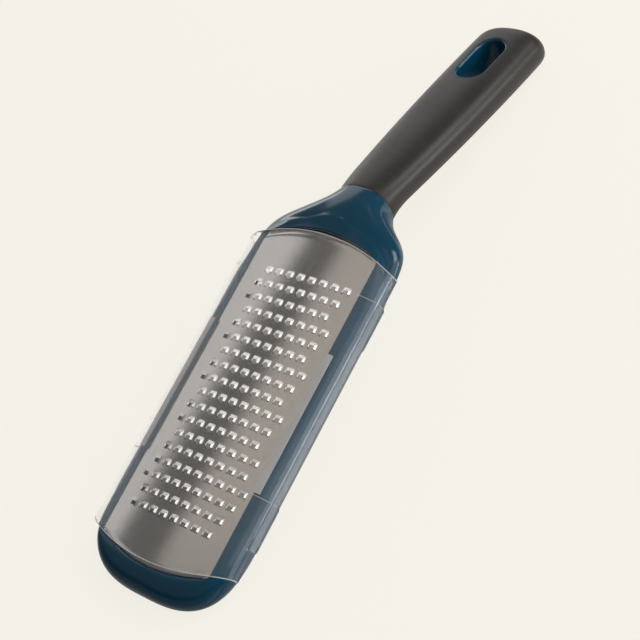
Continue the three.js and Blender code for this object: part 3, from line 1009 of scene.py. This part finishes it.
bladeGuard = addPiece("bladeGuard", guardPatches(), "guard", sharp=guardShape["sharp"],
                      rimRound=guardShape["rimRound"])
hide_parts("blade_guard")
guardRibs = addPiece("guardRibs", ribPatches(), "guard")
# pale strips painted as highlights along the guard's end edges and tab steps
guardPaintedHighlights = addPiece("guardPaintedHighlights", paintedHighlightPatches(), "guard")
# a veil on the skirts, partly frosted and partly a painted pale reflection
guardVeilAndPaintedReflection = addPiece("guardVeilAndPaintedReflection", veilAndReflectionPatches(), "guard")


# Finishes
grainShape = {
    "broadScale": 55.0,
    "broadDetail": 3.0,
    "fineScale": 900.0,
    "fineDetail": 4.0,
    "rampLow": 0.3,
    "rampHigh": 0.7,
    "bumpDeep": 0.0001,
}


def nodeTree(name):
    # a new material, its nodes and links, and its Principled shader
    material = bpy.data.materials.new(name)
    material.use_nodes = True
    tree = material.node_tree
    return material, tree.nodes, tree.links, tree.nodes["Principled BSDF"]


def grainGroup():
    # fine moulded grain: two octaves of noise, as a mask and as a height
    group = bpy.data.node_groups.new("fineGrain", "ShaderNodeTree")
    group.interface.new_socket("Vector", in_out="INPUT", socket_type="NodeSocketVector")
    size = group.interface.new_socket("Grain Scale", in_out="INPUT", socket_type="NodeSocketFloat")
    size.default_value = grainShape["fineScale"]
    group.interface.new_socket("Mask", in_out="OUTPUT", socket_type="NodeSocketFloat")
    group.interface.new_socket("Height", in_out="OUTPUT", socket_type="NodeSocketFloat")
    nodes, links = group.nodes, group.links
    into, out = nodes.new("NodeGroupInput"), nodes.new("NodeGroupOutput")
    broad, fine = nodes.new("ShaderNodeTexNoise"), nodes.new("ShaderNodeTexNoise")
    broad.inputs["Scale"].default_value = grainShape["broadScale"]
    broad.inputs["Detail"].default_value = grainShape["broadDetail"]
    fine.inputs["Detail"].default_value = grainShape["fineDetail"]
    for noise in (broad, fine):
        links.new(into.outputs["Vector"], noise.inputs["Vector"])
    links.new(into.outputs["Grain Scale"], fine.inputs["Scale"])
    links.new(broad.outputs["Fac"], out.inputs["Mask"])
    links.new(fine.outputs["Fac"], out.inputs["Height"])
    return group


fineGrain = grainGroup()


def placeGrain(nodes, links, scale):
    # the grain group on the piece's own coordinates
    spot = nodes.new("ShaderNodeTexCoord")
    grain = nodes.new("ShaderNodeGroup")
    grain.node_tree = fineGrain
    grain.inputs["Grain Scale"].default_value = scale
    links.new(spot.outputs["Object"], grain.inputs["Vector"])
    return grain


def varied(nodes, links, mask, socket, low, high):
    # a value that runs from low to high over the mask
    ramp = nodes.new("ShaderNodeMapRange")
    ramp.inputs["From Min"].default_value = grainShape["rampLow"]
    ramp.inputs["From Max"].default_value = grainShape["rampHigh"]
    ramp.inputs["To Min"].default_value = low
    ramp.inputs["To Max"].default_value = high
    links.new(mask, ramp.inputs["Value"])
    links.new(ramp.outputs["Result"], socket)


def tinted(nodes, links, mask, socket, low, high):
    # a colour that runs from low to high over the mask
    blend = nodes.new("ShaderNodeMix")
    blend.data_type = "RGBA"
    blend.inputs["A"].default_value = (*low, 1.0)
    blend.inputs["B"].default_value = (*high, 1.0)
    links.new(mask, blend.inputs["Factor"])
    links.new(blend.outputs["Result"], socket)


def bumped(nodes, links, height, shader, strength):
    # the shader's normal tilted by the slope of the height
    bump = nodes.new("ShaderNodeBump")
    bump.inputs["Strength"].default_value = strength
    bump.inputs["Distance"].default_value = grainShape["bumpDeep"]
    links.new(height, bump.inputs["Height"])
    links.new(bump.outputs["Normal"], shader.inputs["Normal"])


# glossy blue moulding, and a satin dark grip
blueFinish = {
    "tones": ((0.0022, 0.046, 0.088), (0.0028, 0.053, 0.100)),
    "roughness": (0.12, 0.16),
    "grain": 700.0,
    "bump": 0.03,
    "plain": {"IOR": 1.5},
}
gripFinish = {
    "tones": ((0.0285, 0.0253, 0.0231), (0.0345, 0.0309, 0.028)),
    "roughness": (0.33, 0.40),
    "grain": 2600.0,
    "bump": 0.08,
    "plain": {"Specular IOR Level": 0.38},
}


def moulded(name, finish):
    # plastic with a fine grain in its colour, its gloss and its surface
    material, nodes, links, shader = nodeTree(name)
    grain = placeGrain(nodes, links, finish["grain"])
    tinted(nodes, links, grain.outputs["Mask"], shader.inputs["Base Color"], *finish["tones"])
    varied(nodes, links, grain.outputs["Mask"], shader.inputs["Roughness"], *finish["roughness"])
    bumped(nodes, links, grain.outputs["Height"], shader, finish["bump"])
    for socket, value in finish["plain"].items():
        shader.inputs[socket].default_value = value
    return material


steelFinish = {
    "tones": ((0.53, 0.52, 0.505), (0.62, 0.61, 0.595)),
    "roughness": (0.10, 0.15),
    "stretch": (0.04, 1.0, 1.0),
    "lineScale": 2400.0,
    "lineDetail": 3.0,
    "bump": 0.03,
    "toothTone": (0.84, 0.795, 0.77),
    "toothRoughness": 0.24,
}


def stainlessSheet(finish):
    # bright sheet with fine lines along it, from a noise drawn out in x
    material, nodes, links, shader = nodeTree("stainlessSheet")
    spot = nodes.new("ShaderNodeTexCoord")
    stretch = nodes.new("ShaderNodeMapping")
    stretch.inputs["Scale"].default_value = finish["stretch"]
    lines = nodes.new("ShaderNodeTexNoise")
    lines.inputs["Scale"].default_value = finish["lineScale"]
    lines.inputs["Detail"].default_value = finish["lineDetail"]
    links.new(spot.outputs["Object"], stretch.inputs["Vector"])
    links.new(stretch.outputs["Vector"], lines.inputs["Vector"])
    shader.inputs["Metallic"].default_value = 1.0
    # the teeth are paler and duller than the sheet
    mark = nodes.new("ShaderNodeAttribute")
    mark.attribute_name = "toothMark"
    tone = nodes.new("ShaderNodeMix")
    tone.data_type = "RGBA"
    tone.inputs["B"].default_value = (*finish["toothTone"], 1.0)
    dull = nodes.new("ShaderNodeMix")
    dull.inputs["B"].default_value = finish["toothRoughness"]
    for blend, socket in ((tone, "Base Color"), (dull, "Roughness")):
        links.new(mark.outputs["Fac"], blend.inputs["Factor"])
        links.new(blend.outputs["Result"], shader.inputs[socket])
    tinted(nodes, links, lines.outputs["Fac"], tone.inputs["A"], *finish["tones"])
    varied(nodes, links, lines.outputs["Fac"], dull.inputs["A"], *finish["roughness"])
    bumped(nodes, links, lines.outputs["Fac"], shader, finish["bump"])
    return material


guardFinish = {
    "tones": ((0.98, 0.985, 0.985), (0.99, 0.995, 0.995)),
    "grain": 300.0,
    "ior": 1.47,
    "shade": 0.12,
}


def clearPlastic(finish):
    # clear moulded plastic, which lets the lamps through to what it covers
    material, nodes, links, shader = nodeTree("clearPlastic")
    grain = placeGrain(nodes, links, finish["grain"])
    shader.inputs["Transmission Weight"].default_value = 1.0
    shader.inputs["IOR"].default_value = finish["ior"]
    shader.inputs["Roughness"].default_value = 0.0
    tinted(nodes, links, grain.outputs["Mask"], shader.inputs["Base Color"], *finish["tones"])
    path = nodes.new("ShaderNodeLightPath")
    shade = nodes.new("ShaderNodeMapRange")
    shade.inputs["To Min"].default_value = 1.0
    shade.inputs["To Max"].default_value = finish["shade"]
    links.new(path.outputs["Is Shadow Ray"], shade.inputs["Value"])
    links.new(shade.outputs["Result"], shader.inputs["Alpha"])
    return material


# the guard's thin strips: tones, and how much each covers; the rib is frosted, the skirts' veil is partly
# frosted and partly a painted pale reflection, the edge strips are painted highlights
frostedAndPaintedStrips = {
    "grain": 900.0,
    "roughness": 0.4,
    "frostedRib": (((0.54, 0.53, 0.525), (0.60, 0.59, 0.585)), (0.60, 0.70)),
    # partly frosted, partly a painted pale reflection
    "skirtFrostAndPaintedReflection": (((0.62, 0.64, 0.69), (0.68, 0.70, 0.75)), (0.12, 0.18)),
    # painted highlights along the guard's edges
    "paintedEdgeHighlight": (((0.80, 0.81, 0.82), (0.88, 0.89, 0.90)), (0.32, 0.40)),
}


def frostedAndPaintedStrip(name):
    # partly see-through strip with a dull face: frosted plastic on the rib, frost and painted pale reflection
    # on the skirts, painted highlights on the edges
    tones, cover = frostedAndPaintedStrips[name]
    material, nodes, links, shader = nodeTree(name)
    grain = placeGrain(nodes, links, frostedAndPaintedStrips["grain"])
    tinted(nodes, links, grain.outputs["Mask"], shader.inputs["Base Color"], *tones)
    varied(nodes, links, grain.outputs["Mask"], shader.inputs["Alpha"], *cover)
    shader.inputs["Roughness"].default_value = frostedAndPaintedStrips["roughness"]
    return material


def wear(piece, material):
    # one finish all over the piece
    piece.data.materials.clear()
    piece.data.materials.append(material)


bluePlastic = moulded("bluePlastic", blueFinish)
wear(frameBody, bluePlastic)
wear(eyeLining, bluePlastic)
wear(gripSleeve, moulded("softGrip", gripFinish))
wear(gratingPlate, stainlessSheet(steelFinish))
wear(bladeGuard, clearPlastic(guardFinish))
wear(guardRibs, frostedAndPaintedStrip("frostedRib"))
# the skirts' veil: partly frosted, partly a painted pale reflection
wear(guardVeilAndPaintedReflection, frostedAndPaintedStrip("skirtFrostAndPaintedReflection"))
# painted highlights on the guard's edges
wear(guardPaintedHighlights, frostedAndPaintedStrip("paintedEdgeHighlight"))
print("finishes made")


# Table, light and camera
studio = {
    "tableColour": (0.962, 0.934, 0.866),
    "tableShare": 0.87,
    "tableHalf": 3.0,
    "tableDrop": 0.0002,
    "tableRoughness": 0.9,
    # shade under the head and the handle: middle, half size, shear, and whether the camera sees it
    "under": (
        ((-0.061, 0.0125), (0.078, 0.034), 0.12, True),
        ((0.085, 0.0), (0.055, 0.018), 0.0, False),
    ),
    "underPowers": (6.0, 4.0),
    "underFade": (0.35, 1.0),
    "footGloom": (-0.155, -0.11, 0.08),
    "dimWall": (0.165, 0.162, 0.157),
    "paleCard": (0.76, 0.735, 0.715),
    "cardTop": ((-0.44, 0.0, 0.898), 0.53, 0.59),
    "cardSides": (((0.956, -0.292, 0.0), -0.03, 0.03), ((-0.99, -0.139, 0.0), -0.08, 0.08)),
    "flag": (0.035, 0.036, 0.038),
    "flagSides": (((1.0, 0.0, 0.0), -0.4, -0.12), ((0.0, 0.0, 1.0), 0.2, 0.42)),
    "canopy": (0.56, 0.515, 0.47),
    "canopySides": (((0.19, 0.0, -0.982), -0.79, -0.745), ((-1.0, 0.0, 0.0), 0.03, 0.22)),
    # lamps: azimuth, elevation and distance, the direction of the width, width and height, radiance, colour
    "panels": {
        "rearPanel": ((36, 21, 1.7), (0.588, -0.809, 0.0), (1.16, 0.8), 1.15, (1.0, 0.99, 0.97)),
        "keyPanel": ((-70, 34, 1.7), (0.94, 0.34, 0.0), (1.9, 1.32), 1.3, (1.0, 0.99, 0.98)),
        "sidePanel": ((-66, 13, 1.7), (0.914, 0.407, 0.0), (1.5, 0.46), 4.6, (0.97, 0.99, 1.0)),
        "lowPanel": ((63, 7, 1.7), (0.89, -0.45, 0.0), (0.55, 0.28), 2.6, (1.0, 1.0, 1.0)),
        "streakPanel": ((-30, 40, 1.6), (0.5, 0.87, 0.0), (0.5, 0.5), 4.4, (1.0, 0.985, 0.96)),
    },
}
shot = {
    "eye": (-90.90, -382.26, 411.19),
    "right": (0.461, -0.731, -0.503),
    "up": (0.858, 0.222, 0.463),
    "fieldOfView": math.radians(23.574),
    "clipStart": 0.01,
}


def sums(nodes, links, operation, first, second):
    # one arithmetic node; each side is a socket or a plain number
    node = nodes.new("ShaderNodeMath")
    node.operation = operation
    for place, value in enumerate((first, second)):
        if isinstance(value, (int, float)):
            node.inputs[place].default_value = value
        else:
            links.new(value, node.inputs[place])
    return node.outputs["Value"]


def eased(nodes, links, value, low, high, start, end):
    # smooth step: start below low, end above high
    ramp = nodes.new("ShaderNodeMapRange")
    ramp.interpolation_type = "SMOOTHSTEP"
    for name, number in (("From Min", low), ("From Max", high), ("To Min", start), ("To Max", end)):
        ramp.inputs[name].default_value = number
    links.new(value, ramp.inputs["Value"])
    return ramp.outputs["Result"]


def tableTop():
    # a pale table that shows at its own colour, but lies in real shade under the head
    h = studio["tableHalf"]
    mesh = bpy.data.meshes.new("tableTop")
    mesh.from_pydata([(-h, -h, 0), (h, -h, 0), (h, h, 0), (-h, h, 0)], [], [(0, 1, 2, 3)])
    table = bpy.data.objects.new("tableTop", mesh)
    table.location.z = -studio["tableDrop"]
    bpy.context.scene.collection.objects.link(table)
    material, nodes, links, shader = nodeTree("paleTable")
    shader.inputs["Base Color"].default_value = (*studio["tableColour"], 1.0)
    shader.inputs["Roughness"].default_value = studio["tableRoughness"]
    glow = nodes.new("ShaderNodeEmission")
    glow.inputs["Color"].default_value = (*studio["tableColour"], 1.0)
    path = nodes.new("ShaderNodeLightPath")
    seen = sums(nodes, links, "MAXIMUM", path.outputs["Is Camera Ray"], path.outputs["Is Glossy Ray"])
    seen = sums(nodes, links, "MAXIMUM", seen, path.outputs["Is Transmission Ray"])
    spot = nodes.new("ShaderNodeTexCoord")
    split = nodes.new("ShaderNodeSeparateXYZ")
    links.new(spot.outputs["Object"], split.inputs["Vector"])
    shown = studio["tableShare"]
    powerX, powerY = studio["underPowers"]
    for middle, half, shear, always in studio["under"]:
        x = sums(nodes, links, "SUBTRACT", split.outputs["X"], middle[0])
        slid = sums(nodes, links, "MULTIPLY", x, shear)
        y = sums(nodes, links, "SUBTRACT", split.outputs["Y"], middle[1])
        y = sums(nodes, links, "SUBTRACT", y, slid)
        # outside the rounded patch |x/a|^m + |y/b|^n = 1 the table is bare
        x = sums(nodes, links, "ABSOLUTE", sums(nodes, links, "DIVIDE", x, half[0]), 0.0)
        y = sums(nodes, links, "ABSOLUTE", sums(nodes, links, "DIVIDE", y, half[1]), 0.0)
        x = sums(nodes, links, "POWER", x, powerX)
        y = sums(nodes, links, "POWER", y, powerY)
        far = sums(nodes, links, "ADD", x, y)
        bare = eased(nodes, links, far, *studio["underFade"], 0.0, 1.0)
        if not always:
            bare = sums(nodes, links, "MAXIMUM", bare, path.outputs["Is Camera Ray"])
        shown = sums(nodes, links, "MULTIPLY", shown, bare)
    # reflections see a dimmer table beyond the foot
    low, high, least = studio["footGloom"]
    lit = eased(nodes, links, split.outputs["X"], low, high, least, 1.0)
    plain = sums(nodes, links, "SUBTRACT", 1.0, path.outputs["Is Glossy Ray"])
    links.new(sums(nodes, links, "MAXIMUM", lit, plain), glow.inputs["Strength"])
    both = nodes.new("ShaderNodeMixShader")
    links.new(sums(nodes, links, "MULTIPLY", seen, shown), both.inputs["Fac"])
    links.new(shader.outputs["BSDF"], both.inputs[1])
    links.new(glow.outputs["Emission"], both.inputs[2])
    # clear from below, so that the underside can be looked at
    facing = nodes.new("ShaderNodeNewGeometry")
    clear = nodes.new("ShaderNodeBsdfTransparent")
    either = nodes.new("ShaderNodeMixShader")
    links.new(facing.outputs["Backfacing"], either.inputs["Fac"])
    links.new(both.outputs["Shader"], either.inputs[1])
    links.new(clear.outputs["BSDF"], either.inputs[2])
    links.new(either.outputs["Shader"], nodes["Material Output"].inputs["Surface"])
    mesh.materials.append(material)


def softPanel(name, place, across, width, height, radiance, colour):
    # a flat lamp facing the grater, as bright as a surface of that radiance: power = pi radiance area
    lamp = bpy.data.lights.new(name, "AREA")
    lamp.shape = "RECTANGLE"
    lamp.size, lamp.size_y = width, height
    lamp.energy = radiance * math.pi * width * height
    lamp.color = colour
    zAxis = Vector(place).normalized()
    xAxis = (Vector(across) - zAxis * Vector(across).dot(zAxis)).normalized()
    panel = bpy.data.objects.new(name, lamp)
    panel.matrix_world = Matrix((xAxis, zAxis.cross(xAxis), zAxis)).transposed().to_4x4()
    panel.location = place
    bpy.context.scene.collection.objects.link(panel)


def toward(azimuth, elevation, distance):
    # a place seen from the origin at that azimuth from +X towards +Y, and elevation, in degrees
    a, e = math.radians(azimuth), math.radians(elevation)
    return tuple(distance * v for v in (math.cos(e) * math.cos(a), math.cos(e) * math.sin(a), math.sin(e)))


def studioLight():
    # a dim room, darker low beyond the foot, with a pale card on the left and a warm canopy above
    world = bpy.data.worlds.new("studio")
    bpy.context.scene.world = world
    world.use_nodes = True
    nodes, links = world.node_tree.nodes, world.node_tree.links
    spot = nodes.new("ShaderNodeTexCoord")

    def side(plane, low, high):
        # one where the direction's share along the plane's normal is below low, none above high
        reach = nodes.new("ShaderNodeVectorMath")
        reach.operation = "DOT_PRODUCT"
        reach.inputs[1].default_value = plane
        links.new(spot.outputs["Generated"], reach.inputs[0])
        return eased(nodes, links, reach.outputs["Value"], low, high, 1.0, 0.0)

    def blend(mask, under, colour):
        # the colour where the mask is one, over what is under it
        mixed = nodes.new("ShaderNodeMix")
        mixed.data_type = "RGBA"
        links.new(mask, mixed.inputs["Factor"])
        if isinstance(under, tuple):
            mixed.inputs["A"].default_value = (*under, 1.0)
        else:
            links.new(under, mixed.inputs["A"])
        mixed.inputs["B"].default_value = (*colour, 1.0)
        return mixed.outputs["Result"]

    card = side(*studio["cardTop"])
    for edge in studio["cardSides"]:
        card = sums(nodes, links, "MULTIPLY", card, side(*edge))
    flag = sums(nodes, links, "MULTIPLY", *(side(*edge) for edge in studio["flagSides"]))
    colour = blend(flag, studio["dimWall"], studio["flag"])
    colour = blend(card, colour, studio["paleCard"])
    canopy = sums(nodes, links, "MULTIPLY", *(side(*edge) for edge in studio["canopySides"]))
    colour = blend(canopy, colour, studio["canopy"])
    path = nodes.new("ShaderNodeLightPath")
    colour = blend(path.outputs["Is Camera Ray"], colour, studio["tableColour"])
    links.new(colour, nodes["Background"].inputs["Color"])
    for name, (place, across, size, radiance, tint) in studio["panels"].items():
        softPanel(name, toward(*place), across, *size, radiance, tint)


def photoCamera():
    # axes of the camera in the head's frame, turned into the row frame with the head
    right = np.array(shot["right"])
    up = np.array(shot["up"])
    back = np.cross(right, up)
    up = np.cross(back, right)
    axes = np.stack([v / np.linalg.norm(v) for v in (right, up, back)])
    c, s = math.cos(tilt), math.sin(tilt)
    turn = np.array([[c, 0.0, -s], [0.0, 1.0, 0.0], [s, 0.0, c]])
    placed = Matrix((turn @ axes.T).tolist()).to_4x4()
    placed.translation = Vector(toRow(np.array(shot["eye"])))
    lens = bpy.data.cameras.new("photoCamera")
    lens.sensor_fit = "HORIZONTAL"
    lens.angle = shot["fieldOfView"]
    lens.clip_start = shot["clipStart"]
    camera = bpy.data.objects.new("photoCamera", lens)
    camera.matrix_world = placed
    bpy.context.scene.collection.objects.link(camera)
    bpy.context.scene.camera = camera


tableTop()
studioLight()
photoCamera()
bpy.context.scene.view_settings.view_transform = "Standard"
print("table, light and camera set")
